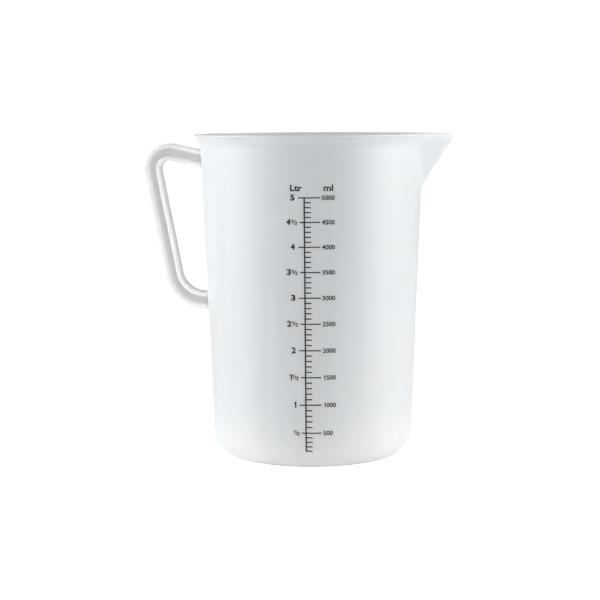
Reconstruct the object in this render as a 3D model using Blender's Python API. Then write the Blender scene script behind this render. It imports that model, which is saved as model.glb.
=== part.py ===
"""A five-litre measuring jug of natural polypropylene: tapered vessel, V-shaped spout and H-section handle.

The jug stands on the plane z = 0, and the origin is the bottom centre of its bounding box. The spout
points along +X, the handle along -X, and the printed volume scale faces -Y. One moulding is built as
its functional parts, with a hairline between neighbours. Shapes are drawn about the vessel's axis, and
their parent sets that axis in place. Metres throughout.
"""

import math

import bmesh
import bpy

# Vessel
HEIGHT = 0.2737
BASE_RADIUS = 0.0832  # the wall's cone carried down to z = 0, outside
WALL_TAPER = 0.0404  # radius gained for each unit of height
WALL = 0.002
FLOOR = 0.003
HEEL_RADIUS = 0.0249  # outside, between the foot and the wall
FOOT_WIDTH = 0.007  # flat ring that the jug stands on
FOOT_RECESS = 0.0038  # how far the floor is raised inside that ring
DISH_COLLAR = 0.0015  # straight wall that the base dish keeps above its heel

# Rim
RIM_PROJECTION = 0.0049  # outer edge beyond the wall, at the top
RIM_HEIGHT = 0.0083
RIM_EDGE = 0.0015  # height of the upright outer edge
RIM_OVERHANG = 0.0009  # how far that edge stands out from the flare below it

# Spout
SPOUT_PROJECTION = 0.0253  # tip beyond the wall, at the top
SPOUT_SPREAD = math.radians(27)  # from the centre line to where a side meets the wall, about the axis
SPOUT_NOSE_RADIUS = 0.008
SPOUT_LEAN = math.radians(33.5)
SPOUT_BREAK_RADIUS = 0.012  # the lean turns upright over this arc, at the top
SPOUT_WALL = 0.002

# Handle
HANDLE_PROJECTION = 0.0481  # outermost point beyond the wall, at the top
HANDLE_DROP = 0.0135  # from the rim down to the upper arm's outer face, at the wall
HANDLE_HEIGHT = 0.1343  # from there down to the lower arm's outer face
HANDLE_SECTION = 0.0141  # outer face to inner face
HANDLE_WIDTH = 0.0215
HANDLE_FLANGE = 0.0031
HANDLE_WEB = 0.0026
HANDLE_EDGE = 0.0005
HANDLE_CREST_RADIUS = 0.0212  # outside
HANDLE_HEEL_RADIUS = 0.0347  # outside
GRIP_LEAN = math.radians(10.95)
ARM_FALL = math.radians(12.8)

# Printed scale
LITRE = 0.001
MARK_STEP = 0.1 * LITRE
FIRST_MAJOR = 5  # in steps, and so is every later major line
FREEBOARD = 0.045  # the least depth left above the top line
LOWEST_MARK = 0.0168
STEM_WIDTH = 0.0011
LINE_WIDTH = 0.0009
FULL_LEFT = 0.0045  # a whole litre's line, left of the stem
HALF_LEFT = 0.0032
MAJOR_RIGHT = 0.0121
MINOR_RIGHT = 0.0047
INK_THICKNESS = 0.0002

# Clearance and fineness
GAP = 0.0003
TURN_STEPS = 96
ARC_STEPS = 8
BEYOND = 0.010  # how far a cutter runs past what it cuts
SLICE = 0.0001  # depth of liquid that one step of a filling adds

PLASTIC = {"colour": (0.80, 0.84, 0.87, 1.0), "roughness": 0.38}
INK = {"colour": (0.02, 0.02, 0.022, 1.0), "roughness": 0.6}


def clear_scene():
    for old in list(bpy.data.objects):
        bpy.data.objects.remove(old, do_unlink=True)


def new_material(name, finish):
    material = bpy.data.materials.new(name)
    material.use_nodes = True
    shader = material.node_tree.nodes["Principled BSDF"]
    shader.inputs["Base Color"].default_value = finish["colour"]
    shader.inputs["Roughness"].default_value = finish["roughness"]
    shader.inputs["Metallic"].default_value = 0.0
    return material


def new_object(name, points, faces, finish=None, edges=()):
    """A mesh object; one without a finish is a cutter, which only guides."""
    mesh = bpy.data.meshes.new(name)
    mesh.from_pydata(points, edges, faces)
    made = bpy.data.objects.new(name, mesh)
    made.parent = bpy.data.objects["jug"]
    bpy.context.scene.collection.objects.link(made)
    if finish is None:
        made.hide_render = True
        made.display_type = "WIRE"
    else:
        mesh.materials.append(new_material(name, finish))
    return made


def face_outward(made):
    mesh = bmesh.new()
    mesh.from_mesh(made.data)
    bmesh.ops.recalc_face_normals(mesh, faces=mesh.faces)
    mesh.to_mesh(made.data)
    mesh.free()


def shade_round(made):
    made.data.shade_smooth()
    made.data.set_sharp_from_angle(angle=math.radians(35))


def cut(made, cutter):
    """Take the cutter away from the object."""
    boolean = made.modifiers.new("cut_" + cutter.name, "BOOLEAN")
    boolean.operation = "DIFFERENCE"
    boolean.solver = "EXACT"
    boolean.object = cutter


def turned(name, profile, finish=None, closed=True):
    """The solid that a profile of (radius, height) sweeps about Z. The profile runs down its outer side."""
    points = [(radius, 0.0, height) for radius, height in profile]
    edges = [(i, i + 1) for i in range(len(points) - 1)]
    if closed:
        edges.append((len(points) - 1, 0))
    made = new_object(name, points, [], finish, edges)
    screw = made.modifiers.new("turn", "SCREW")
    screw.axis = "Z"
    screw.steps = TURN_STEPS
    screw.render_steps = TURN_STEPS
    screw.use_merge_vertices = True
    screw.merge_threshold = 1e-6
    screw.use_smooth_shade = True
    return made


def arc(centre, radius, start, end, steps=ARC_STEPS):
    """Points on a circle from one angle to another, both ends included."""
    turn = (end - start) / steps
    return [
        (
            centre[0] + radius * math.cos(start + turn * i),
            centre[1] + radius * math.sin(start + turn * i),
        )
        for i in range(steps + 1)
    ]


# Vessel surfaces


def wall_radius(height, inset=0.0):
    """The conical wall's radius at a height, an inset in from its outside."""
    return BASE_RADIUS + WALL_TAPER * height - inset


def floor_level():
    return FOOT_RECESS + FLOOR


def inner_heel_radius():
    """The inner heel's centre is level with the outer one's."""
    return HEEL_RADIUS - floor_level()


def heel_centre(inset, floor, radius):
    """Centre of the arc that joins a level floor to the cone."""
    lean = math.atan(WALL_TAPER)
    return wall_radius(floor + radius, inset) - radius / math.cos(lean), floor + radius


def heel(inset, floor, radius):
    """That arc's points, from the floor up to the wall."""
    return arc(heel_centre(inset, floor, radius), radius, -math.pi / 2, -math.atan(WALL_TAPER))


def surface_radius(height, inset, floor, radius):
    """The radius at a height of a surface made of a floor, a heel and the cone."""
    centre = heel_centre(inset, floor, radius)
    below = centre[1] - height
    if below <= radius * math.sin(math.atan(WALL_TAPER)):
        return wall_radius(height, inset)
    return centre[0] + math.sqrt(radius**2 - below**2)


def outer_radius(height):
    return surface_radius(height, 0.0, 0.0, HEEL_RADIUS)


def inner_radius(height):
    return surface_radius(height, WALL, floor_level(), inner_heel_radius())


def fill_height(volume):
    """The height that a volume of liquid reaches in the vessel."""
    height = floor_level()
    missing = volume
    while missing > 0.0:
        area = math.pi * inner_radius(height + SLICE / 2) ** 2
        depth = min(SLICE, missing / area)
        missing -= area * SLICE
        height += depth
    return height


def dish_top():
    return HEEL_RADIUS + DISH_COLLAR


def rim_root():
    return HEIGHT - RIM_HEIGHT


def rim_radius():
    return wall_radius(HEIGHT) + RIM_PROJECTION


# Sub-parts of the vessel


def make_base_dish():
    """Floor, heel and a short collar: the flat foot ring is what the jug rests on."""
    top = dish_top()
    foot = heel_centre(0.0, 0.0, HEEL_RADIUS)[0] - FOOT_WIDTH
    profile = [(0.0, floor_level())] + heel(WALL, floor_level(), inner_heel_radius())
    profile += [(wall_radius(top, WALL), top), (wall_radius(top), top)]
    profile += heel(0.0, 0.0, HEEL_RADIUS)[::-1]
    profile += [(foot, 0.0), (foot - FOOT_RECESS, FOOT_RECESS), (0.0, FOOT_RECESS)]
    return turned("base_dish", profile, PLASTIC, closed=False)


def make_side_wall(channel):
    low = dish_top() + GAP
    high = rim_root() - GAP
    profile = [
        (wall_radius(high), high),
        (wall_radius(low), low),
        (wall_radius(low, WALL), low),
        (wall_radius(high, WALL), high),
    ]
    made = turned("side_wall", profile, PLASTIC)
    cut(made, channel)
    return made


def make_rim_lip(channel, beak_clearance):
    """The flared top of the wall, ending at each side of the spout."""
    root = rim_root()
    under_edge = HEIGHT - RIM_EDGE
    edge_radius = rim_radius()
    flare_radius = edge_radius - RIM_OVERHANG
    softening = RIM_OVERHANG / 3
    profile = [
        (edge_radius - softening, HEIGHT),
        (edge_radius, HEIGHT - softening),
        (edge_radius, under_edge),
        (flare_radius, under_edge),
        (wall_radius(root), root),
        (wall_radius(root, WALL), root),
        (flare_radius - WALL, under_edge),
        (flare_radius - WALL + softening, HEIGHT),
    ]
    made = turned("rim_lip", profile, PLASTIC)
    cut(made, channel)
    cut(made, beak_clearance)
    return made


def make_cone(name, growth):
    """A cutter as large as the vessel's plain cone, grown by a clearance."""
    low = -BEYOND
    high = HEIGHT + BEYOND
    profile = [
        (0.0, high),
        (wall_radius(high) + growth, high),
        (wall_radius(low) + growth, low),
        (0.0, low),
    ]
    return turned(name, profile, closed=False)


# Spout


def spout_reach():
    return wall_radius(HEIGHT) + SPOUT_PROJECTION


def nose_centre():
    return spout_reach() - SPOUT_NOSE_RADIUS, 0.0


def side_facing():
    """Which way a side of the spout faces in plan: it runs from the wall to the nose's round."""
    nose = nose_centre()
    wall = wall_radius(HEIGHT)
    across = wall * math.sin(SPOUT_SPREAD)
    along = wall * math.cos(SPOUT_SPREAD) - nose[0]
    return math.atan2(across, along) - math.acos(SPOUT_NOSE_RADIUS / math.hypot(across, along))


def beak_outline(inset):
    """The beak's V in plan at the top, from one back corner round the nose to the other."""
    facing = side_facing()
    curve = arc(nose_centre(), SPOUT_NOSE_RADIUS - inset, -facing, facing)
    # Each side runs on from the curve to the middle of the wall, then inwards.
    back = (-math.sin(facing), math.cos(facing))
    start = curve[-1]
    middle = wall_radius(HEIGHT, WALL / 2)
    towards_axis = -(start[0] * back[0] + start[1] * back[1])
    run = towards_axis - math.sqrt(towards_axis**2 + middle**2 - start[0] ** 2 - start[1] ** 2)
    corner = (start[0] + run * back[0], start[1] + run * back[1])
    inner = (corner[0] - 3 * BEYOND, corner[1] - BEYOND)
    side = [corner, inner]
    return [(x, -y) for x, y in side[::-1]] + curve + side


def nose_line():
    """The nose seen from the side: (reach, height) from inside the vessel up to the tip."""
    tip = (spout_reach(), HEIGHT)
    centre = (tip[0] - SPOUT_BREAK_RADIUS, tip[1])
    top = arc(centre, SPOUT_BREAK_RADIUS, -SPOUT_LEAN, 0.0, 4)
    fall = math.tan(SPOUT_LEAN)
    root = (top[0][1] * fall - top[0][0] + BASE_RADIUS) / (fall - WALL_TAPER)
    low = root - BEYOND
    return [(top[0][0] - fall * (top[0][1] - low), low)] + top


def make_beak(name, inset, finish=None, rise=0.0):
    """The V carried up the nose line as a closed solid. A rise carries it on above the rim."""
    outline = beak_outline(inset)
    levels = nose_line()
    if rise:
        levels.append((levels[-1][0], HEIGHT + rise))
    tip = spout_reach()
    count = len(outline)
    points = [(x + reach - tip, y, height) for reach, height in levels for x, y in outline]
    faces = [tuple(range(count))]
    for level in range(len(levels) - 1):
        first = level * count
        for i in range(count):
            after = (i + 1) % count
            faces.append((first + i, first + after, first + count + after, first + count + i))
    faces.append(tuple(range(len(points) - count, len(points))))
    made = new_object(name, points, faces, finish)
    face_outward(made)
    return made


def spout_inset():
    """The wall measured level, on a side that leans with the nose."""
    return SPOUT_WALL * math.hypot(1.0, math.tan(SPOUT_LEAN) * math.cos(side_facing()))


def make_pour_spout(channel, cone):
    made = make_beak("pour_spout", 0.0, PLASTIC)
    cut(made, channel)
    cut(made, cone)
    return made


# Handle


def handle_reach():
    return wall_radius(HEIGHT) + HANDLE_PROJECTION


def handle_top():
    """Height of the upper arm's outer face where it meets the wall."""
    return HEIGHT - HANDLE_DROP


def handle_line(offset):
    """The handle's side view at an offset out from its outer face: points from the upper end to the lower."""
    crest = HANDLE_CREST_RADIUS + offset
    foot = HANDLE_HEEL_RADIUS + offset
    top = handle_top()
    wall = wall_radius(top)
    up = math.pi / 2 - ARM_FALL
    out = math.pi + GRIP_LEAN
    crest_x = HANDLE_CREST_RADIUS - handle_reach()
    crest_z = top - (crest_x + wall) * math.tan(ARM_FALL) - HANDLE_CREST_RADIUS / math.cos(ARM_FALL)
    foot_z = top - HANDLE_HEIGHT + HANDLE_HEEL_RADIUS
    inward = (math.cos(GRIP_LEAN), math.sin(GRIP_LEAN))
    outer_face = inward[0] * crest_x + inward[1] * crest_z - HANDLE_CREST_RADIUS
    foot_x = (outer_face + HANDLE_HEEL_RADIUS - inward[1] * foot_z) / inward[0]
    upper = arc((crest_x, crest_z), crest, up, out)
    lower = arc((foot_x, foot_z), foot, out, 3 * math.pi / 2)
    into_wall = BEYOND - wall
    rise = (upper[0][0] - into_wall) * math.tan(ARM_FALL)
    start = (into_wall, upper[0][1] + rise)
    end = (into_wall, lower[-1][1])
    return [start] + upper + lower + [end]


def make_band(name, outer, inner, width, cone):
    """A strip that follows the handle between two depths below its outer face, ending at the vessel."""
    outer_side = handle_line(-outer)
    inner_side = handle_line(-inner)
    half = width / 2
    points = []
    for (ox, oz), (ix, iz) in zip(outer_side, inner_side):
        points += [(ox, -half, oz), (ox, half, oz), (ix, half, iz), (ix, -half, iz)]
    faces = [(0, 1, 2, 3)]
    for station in range(len(outer_side) - 1):
        first = station * 4
        for i in range(4):
            after = (i + 1) % 4
            faces.append((first + i, first + after, first + 4 + after, first + 4 + i))
    faces.append(tuple(range(len(points) - 4, len(points))))
    made = new_object(name, points, faces, PLASTIC)
    face_outward(made)
    bevel = made.modifiers.new("soft_edges", "BEVEL")
    bevel.width = HANDLE_EDGE
    bevel.segments = 2
    bevel.limit_method = "ANGLE"
    bevel.angle_limit = math.radians(50)
    cut(made, cone)
    return made


def make_handle(cone):
    """Two flanges with a web between them: an H in section, open to the front and the back."""
    far = HANDLE_SECTION - HANDLE_FLANGE
    return [
        make_band("handle_outer_flange", 0.0, HANDLE_FLANGE, HANDLE_WIDTH, cone),
        make_band("handle_web", HANDLE_FLANGE + GAP, far - GAP, HANDLE_WEB, cone),
        make_band("handle_inner_flange", far, HANDLE_SECTION, HANDLE_WIDTH, cone),
    ]


# Printed scale


def full_steps():
    """Steps up to the top line, which is the last major one that leaves the freeboard."""
    steps = FIRST_MAJOR
    while fill_height((steps + FIRST_MAJOR) * MARK_STEP) <= HEIGHT - FREEBOARD:
        steps += FIRST_MAJOR
    return steps


def scale_marks():
    """Every line of the scale as (height, reach left, reach right). Each is at its own volume's level."""
    marks = []
    for step in range(FIRST_MAJOR, full_steps() + 1):
        height = fill_height(step * MARK_STEP)
        if step % FIRST_MAJOR:
            marks.append((height, 0.0, MINOR_RIGHT))
        else:
            left = HALF_LEFT if step % (2 * FIRST_MAJOR) else FULL_LEFT
            marks.append((height, left, MAJOR_RIGHT))
    # Below the first major line they close up evenly, clear of the heel's sharpest curve.
    pitch = (marks[0][0] - LOWEST_MARK) / (FIRST_MAJOR - 1)
    low = [(LOWEST_MARK + pitch * i, 0.0, MINOR_RIGHT) for i in range(FIRST_MAJOR - 1)]
    return low + marks


def make_volume_scale():
    """Stem and lines as one film of ink on the front of the wall."""
    half = STEM_WIDTH / 2
    columns = sorted({-half - FULL_LEFT, -half - HALF_LEFT, -half, half})
    columns += [half + MINOR_RIGHT, half + (MINOR_RIGHT + MAJOR_RIGHT) / 2, half + MAJOR_RIGHT]
    rows = []
    for height, left, right in scale_marks():
        rows += [(height - LINE_WIDTH / 2, left, right), (height + LINE_WIDTH / 2, 0.0, 0.0)]
    mesh = bmesh.new()
    grid = {}

    def corner(column, row, lift):
        key = (column, row, lift)
        if key not in grid:
            height = rows[row][0]
            radius = outer_radius(height) + GAP + lift * INK_THICKNESS
            turn = columns[column] / radius
            grid[key] = mesh.verts.new((radius * math.sin(turn), -radius * math.cos(turn), height))
        return grid[key]

    filled = set()
    for row in range(len(rows) - 1):
        _, left, right = rows[row]
        for column in range(len(columns) - 1):
            middle = (columns[column] + columns[column + 1]) / 2
            if -half - left < middle < half + right:
                filled.add((column, row))
    for column, row in filled:
        ring = [(column, row), (column + 1, row), (column + 1, row + 1), (column, row + 1)]
        mesh.faces.new([corner(c, r, 1) for c, r in ring])
        mesh.faces.new([corner(c, r, 0) for c, r in ring[::-1]])
        beside = [(column, row - 1), (column + 1, row), (column, row + 1), (column - 1, row)]
        for i in range(4):
            if beside[i] not in filled:
                (c1, r1), (c2, r2) = ring[i], ring[(i + 1) % 4]
                side = [corner(c1, r1, 0), corner(c2, r2, 0), corner(c2, r2, 1), corner(c1, r1, 1)]
                mesh.faces.new(side)
    made = new_object("volume_scale", [], [], INK)
    bmesh.ops.recalc_face_normals(mesh, faces=mesh.faces)
    mesh.to_mesh(made.data)
    mesh.free()
    return made


def make_parent():
    """The vessel's axis, set so that the spout's and the handle's reach are centred on the origin."""
    axis = bpy.data.objects.new("jug", None)
    axis.location.x = (handle_reach() - spout_reach()) / 2
    bpy.context.scene.collection.objects.link(axis)


def main():
    clear_scene()
    make_parent()
    channel = make_beak("spout_channel", spout_inset(), rise=BEYOND)
    cone = make_cone("vessel_clearance", GAP)
    beak_clearance = make_beak("beak_clearance", -GAP, rise=BEYOND)
    cut(beak_clearance, make_cone("vessel_core", -GAP))
    shade_round(make_pour_spout(channel, cone))
    make_base_dish()
    make_side_wall(channel)
    make_rim_lip(channel, beak_clearance)
    for band in make_handle(cone):
        shade_round(band)
    make_volume_scale()


main()
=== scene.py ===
"""Five-litre measuring jug moulded in milky polypropylene, dressed around its CAD frame.

The jug is one moulding with a screen-printed scale. The vessel and its spout are one closed shell, the
handle is a swept H section that runs into the wall, and the print is a thin film on the front. Places
come from the frame's nodes; metres throughout, +Z up, the spout towards +X and the scale towards -Y.
"""

import logging
import math
from collections.abc import Sequence
from dataclasses import dataclass, field
from enum import Enum

import bmesh
import bpy
import numpy as np
from bpy.types import bpy_prop_collection, ID, Material, Mesh, Node, NodeSocket, NodeTree, Object
from mathutils import Matrix, Vector


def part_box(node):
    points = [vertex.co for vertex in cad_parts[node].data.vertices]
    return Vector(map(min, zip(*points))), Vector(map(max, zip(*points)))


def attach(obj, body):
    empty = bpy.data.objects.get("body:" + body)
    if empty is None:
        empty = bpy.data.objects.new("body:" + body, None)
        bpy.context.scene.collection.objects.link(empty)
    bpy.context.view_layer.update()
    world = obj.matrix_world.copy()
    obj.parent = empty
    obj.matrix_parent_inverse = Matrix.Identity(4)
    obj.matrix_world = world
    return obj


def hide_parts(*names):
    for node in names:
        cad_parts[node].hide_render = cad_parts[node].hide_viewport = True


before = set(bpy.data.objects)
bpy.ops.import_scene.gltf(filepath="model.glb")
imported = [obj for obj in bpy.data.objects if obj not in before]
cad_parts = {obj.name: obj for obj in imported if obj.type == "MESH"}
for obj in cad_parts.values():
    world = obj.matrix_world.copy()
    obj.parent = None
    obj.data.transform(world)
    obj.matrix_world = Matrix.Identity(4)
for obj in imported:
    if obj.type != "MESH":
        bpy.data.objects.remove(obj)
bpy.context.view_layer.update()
BODY = "root"

logging.basicConfig(level=logging.INFO, format="%(levelname)s %(message)s")
log = logging.getLogger("measuring_jug")

Point2 = tuple[float, float]
Point3 = tuple[float, float, float]
Colour = tuple[float, float, float, float]
Feeds = dict[int | str, object]

WHITE: Colour = (1.0, 1.0, 1.0, 1.0)


class Slot(Enum):
    """Material slots of the record."""

    PLASTIC = "polypropylene"
    INK = "ink"


class Side(Enum):
    """Which face of the vessel's wall a profile runs along."""

    OUTER = "outer"
    INNER = "inner"


# ---------------------------------------------------------------- helpers


def linked(name: str, data: ID) -> Object:
    """Make an object of a mesh, a curve, a lamp or a camera, and link it to the scene."""
    made = bpy.data.objects.new(name, data)
    bpy.context.scene.collection.objects.link(made)
    return made


def face_outwards(mesh: Mesh, merge: float = 0.0) -> None:
    """Point the faces of a closed mesh outwards.

    Args:
        mesh: The mesh to change.
        merge: Distance within which points are merged first, or 0 to merge none.
    """
    work = bmesh.new()
    work.from_mesh(mesh)
    if merge > 0.0:
        bmesh.ops.remove_doubles(work, verts=work.verts, dist=merge)
    bmesh.ops.recalc_face_normals(work, faces=work.faces)
    work.to_mesh(mesh)
    work.free()


def mesh_object(name: str, points: Sequence[Point3], faces: Sequence[tuple[int, ...]]) -> Object:
    """Make a smooth-shaded mesh object at the origin.

    Args:
        name: The piece's name.
        points: Its vertices, in metres, in the frame.
        faces: Its faces, as vertex indices.

    Returns:
        The linked object, with normals facing outwards.
    """
    mesh = bpy.data.meshes.new(name)
    mesh.from_pydata(points, [], faces)
    face_outwards(mesh)
    mesh.shade_smooth()
    return linked(name, mesh)


def plain_mesh(holder: Object) -> Mesh:
    """Evaluate an object, keep the result as a plain mesh and remove the object."""
    bpy.context.view_layer.update()
    evaluated = holder.evaluated_get(bpy.context.evaluated_depsgraph_get())
    mesh = bpy.data.meshes.new_from_object(evaluated)
    bpy.data.objects.remove(holder)
    return mesh


def tube_faces(rings: int, count: int) -> list[tuple[int, ...]]:
    """Join neighbouring closed rings of points with quads.

    Args:
        rings: Number of rings.
        count: Number of points in each.

    Returns:
        The faces, as vertex indices.
    """
    faces: list[tuple[int, ...]] = []
    for low in range(0, (rings - 1) * count, count):
        high = low + count
        for i in range(count):
            after = (i + 1) % count
            faces.append((low + i, low + after, high + after, high + i))
    return faces


def arc(centre: Point2, radius: float, start: float, end: float, steps: int) -> list[Point2]:
    """Points on a circle from one angle to another, both ends included.

    Args:
        centre: The circle's centre.
        radius: Its radius.
        start: First angle, in radians.
        end: Last angle.
        steps: Number of equal steps between them.

    Returns:
        The points in order.
    """
    turn = (end - start) / steps
    return [
        (centre[0] + radius * math.cos(start + turn * i), centre[1] + radius * math.sin(start + turn * i))
        for i in range(steps + 1)
    ]


def rounded(corners: Sequence[tuple[float, float, float]], steps: int) -> list[Point2]:
    """Round the corners of a closed outline.

    Args:
        corners: Each corner as (x, y, radius), in order round the outline.
        steps: Steps in each corner's arc.

    Returns:
        The outline's points in the same order.
    """
    outline: list[Point2] = []
    count = len(corners)
    for i, (x, y, radius) in enumerate(corners):
        here = Vector((x, y))
        before = (Vector(corners[i - 1][:2]) - here).normalized()
        after = (Vector(corners[(i + 1) % count][:2]) - here).normalized()
        half = before.angle(after) / 2
        centre = here + (before + after).normalized() * (radius / math.sin(half))
        first = here + before * (radius / math.tan(half)) - centre
        last = here + after * (radius / math.tan(half)) - centre
        turn = first.angle_signed(last)
        for step in range(steps + 1):
            arm = first.copy()
            arm.rotate(Matrix.Rotation(-turn * step / steps, 2))
            outline.append(tuple(centre + arm))
    return outline


def smooth_max(a: float, b: float, blend: float) -> float:
    """The larger of two lengths, with a fillet of about the blend's size where they are close."""
    near = max(blend - abs(a - b), 0.0) / blend
    return max(a, b) + near * near * blend / 4


def spaced(start: float, end: float, steps: int) -> list[float]:
    """Evenly spaced values, both ends included."""
    return [start + (end - start) * i / steps for i in range(steps + 1)]


class Graph:
    """A thin wrapper that adds and joins nodes of one node tree."""

    def __init__(self, tree: NodeTree) -> None:
        """Keep the tree to build in."""
        self.tree = tree

    def feed(self, source: object, socket: NodeSocket) -> None:
        """Set a socket to a value, or link an output to it."""
        if isinstance(source, NodeSocket):
            self.tree.links.new(source, socket)
        else:
            socket.default_value = source

    def node(self, kind: str, sources: Feeds | None = None, **values: object) -> Node:
        """Add a node.

        Args:
            kind: Its type.
            sources: What feeds its inputs, by name or number.
            values: Its properties.

        Returns:
            The node.
        """
        made = self.tree.nodes.new(kind)
        for name, value in values.items():
            setattr(made, name, value)
        for label, source in (sources or {}).items():
            self.feed(source, made.inputs[label])
        return made

    def math(self, operation: str, *terms: object) -> NodeSocket:
        """Add a Math node of one to three terms and give its output."""
        return self.node("ShaderNodeMath", dict(enumerate(terms)), operation=operation).outputs[0]

    def vector(self, *parts: object) -> NodeSocket:
        """Join X, Y and Z."""
        return self.node("ShaderNodeCombineXYZ", dict(enumerate(parts))).outputs[0]

    def split(self, vector: object) -> Sequence[NodeSocket]:
        """Take X, Y and Z apart."""
        return self.node("ShaderNodeSeparateXYZ", {0: vector}).outputs

    def place(self, kind: str = "Object") -> NodeSocket:
        """Give the coordinates that a pattern lies on."""
        return self.node("ShaderNodeTexCoord").outputs[kind]

    def noise(self, place: object, scale: float, detail: float) -> NodeSocket:
        """Add noise of a scale and a detail."""
        made = self.node("ShaderNodeTexNoise", {"Vector": place, "Scale": scale, "Detail": detail})
        return made.outputs["Fac"]

    def ramp(self, value: object, *stops: tuple[float, Colour]) -> NodeSocket:
        """Blend from colour to colour between two stops, each a position and its colour."""
        made = self.node("ShaderNodeValToRGB", {"Fac": value})
        for element, (position, colour) in zip(made.color_ramp.elements, stops):
            element.position, element.color = position, colour
        return made.outputs["Color"]

    def spread(self, value: object, known: Point2, wanted: Point2, kind: str = "LINEAR") -> NodeSocket:
        """Map a value from one span to another.

        Args:
            value: The value's output.
            known: The span it comes in.
            wanted: The span it goes to, and is held in.
            kind: LINEAR, or SMOOTHSTEP for soft ends.

        Returns:
            The mapped value's output.
        """
        made = self.node("ShaderNodeMapRange", {"Value": value}, interpolation_type=kind)
        for label, limit in zip(("From Min", "From Max", "To Min", "To Max"), (*known, *wanted)):
            self.feed(limit, made.inputs[label])
        return made.outputs["Result"]

    def tint(self, share: object, colour: object, over: Colour) -> NodeSocket:
        """Lay a share of one colour over another."""
        return self.node("ShaderNodeMix", {0: share, 6: colour, 7: over}, data_type="RGBA").outputs[2]

    def relief(self, height: object, strength: float, depth: float) -> NodeSocket:
        """Give the normal of a relief of a depth."""
        made = self.node("ShaderNodeBump", {"Strength": strength, "Distance": depth, "Height": height})
        return made.outputs["Normal"]


def new_material(name: str) -> tuple[Material, Graph, bpy_prop_collection]:
    """Make a node material.

    Args:
        name: Its name.

    Returns:
        The material, its graph and the inputs of its shader.
    """
    made = bpy.data.materials.new(name)
    made.use_nodes = True
    return made, Graph(made.node_tree), made.node_tree.nodes["Principled BSDF"].inputs


# ---------------------------------------------------------------- sizes


@dataclass(frozen=True)
class Vessel:
    """The vessel's own sizes; its places are read from the frame's nodes."""

    axis_x: float
    height: float
    dish_top: float
    dish_radius: float
    taper: float
    rim_radius: float
    rim_root: float
    spout_reach: float
    wall: float = 0.002
    floor: float = 0.003
    heel_radius: float = 0.0249
    foot_width: float = 0.007
    foot_recess: float = 0.0038
    rim_edge: float = 0.0015
    rim_overhang: float = 0.0009
    spout_spread: float = math.radians(27)
    nose_radius: float = 0.008
    spout_lean: float = math.radians(33.5)
    spout_break: float = 0.012
    spout_wall: float = 0.002
    least_slant: float = 0.2

    @classmethod
    def from_frame(cls) -> "Vessel":
        """Read the vessel's places from the frame.

        Returns:
            The vessel, with its axis, height, taper and reaches as the CAD has them.
        """
        dish_low, dish_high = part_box("base_dish")
        wall_low, wall_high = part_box("side_wall")
        rim_low, rim_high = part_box("rim_lip")
        axis = (dish_low.x + dish_high.x) / 2
        dish_radius = (dish_high.x - dish_low.x) / 2
        wall_top = axis - wall_low.x
        return cls(
            axis_x=axis,
            height=rim_high.z,
            dish_top=dish_high.z,
            dish_radius=dish_radius,
            taper=(wall_top - dish_radius) / (wall_high.z - dish_high.z),
            rim_radius=axis - rim_low.x,
            rim_root=rim_low.z,
            spout_reach=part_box("pour_spout")[1].x - axis,
        )

    def cone(self, height: float, inset: float = 0.0) -> float:
        """Radius of the conical wall at a height, an inset in from its outside."""
        return self.dish_radius + self.taper * (height - self.dish_top) - inset

    def floor_level(self) -> float:
        """Height of the floor's inner face."""
        return self.foot_recess + self.floor

    def heel_centre(self, side: Side) -> tuple[float, float, float]:
        """Centre and radius of the heel's arc.

        Args:
            side: The wall's outer or inner face.

        Returns:
            The arc's centre radius, its height and its own radius.
        """
        outer = side is Side.OUTER
        radius = self.heel_radius if outer else self.heel_radius - self.floor_level()
        inset = 0.0 if outer else self.wall
        lean = math.atan(self.taper)
        level = self.heel_radius
        return self.cone(level, inset) - radius / math.cos(lean), level, radius

    def heel(self, side: Side, steps: int) -> list[Point2]:
        """The heel's points from the floor up to the wall."""
        centre, level, radius = self.heel_centre(side)
        return arc((centre, level), radius, -math.pi / 2, -math.atan(self.taper), steps)

    def facing(self) -> float:
        """Which way a side of the spout faces in plan."""
        wall = self.cone(self.height)
        across = wall * math.sin(self.spout_spread)
        along = wall * math.cos(self.spout_spread) - (self.spout_reach - self.nose_radius)
        return math.atan2(across, along) - math.acos(self.nose_radius / math.hypot(across, along))

    def spout_inset(self) -> float:
        """The spout's wall measured level, on a side that leans with the nose."""
        return self.spout_wall * math.hypot(1.0, math.tan(self.spout_lean) * math.cos(self.facing()))

    def nose_reach(self, height: float) -> float:
        """Reach of the spout's nose from the axis at a height."""
        below = self.height - height
        bend = self.spout_break * math.sin(self.spout_lean)
        centre = self.spout_reach - self.spout_break
        if below <= bend:
            return centre + math.sqrt(self.spout_break**2 - max(below, 0.0) ** 2)
        start = centre + self.spout_break * math.cos(self.spout_lean)
        return start - (below - bend) * math.tan(self.spout_lean)

    def beak(self, turn: float, height: float, inset: float) -> float:
        """Distance from the axis to the spout's V in one direction.

        Args:
            turn: Direction about the axis, from the spout's centre line.
            height: Level of the V's outline.
            inset: How far inside the outer outline.

        Returns:
            The distance, or 0 where the V isn't met.
        """
        turn = abs(turn)
        facing = self.facing()
        nose = self.nose_reach(height) - self.nose_radius
        radius = self.nose_radius - inset
        tangent = math.atan2(radius * math.sin(facing), nose + radius * math.cos(facing))
        if turn <= tangent:
            return nose * math.cos(turn) + math.sqrt(max(radius**2 - (nose * math.sin(turn)) ** 2, 0.0))
        slant = math.cos(turn - facing)
        return (nose * math.cos(facing) + radius) / slant if slant > self.least_slant else 0.0


# ---------------------------------------------------------------- finishes


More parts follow.
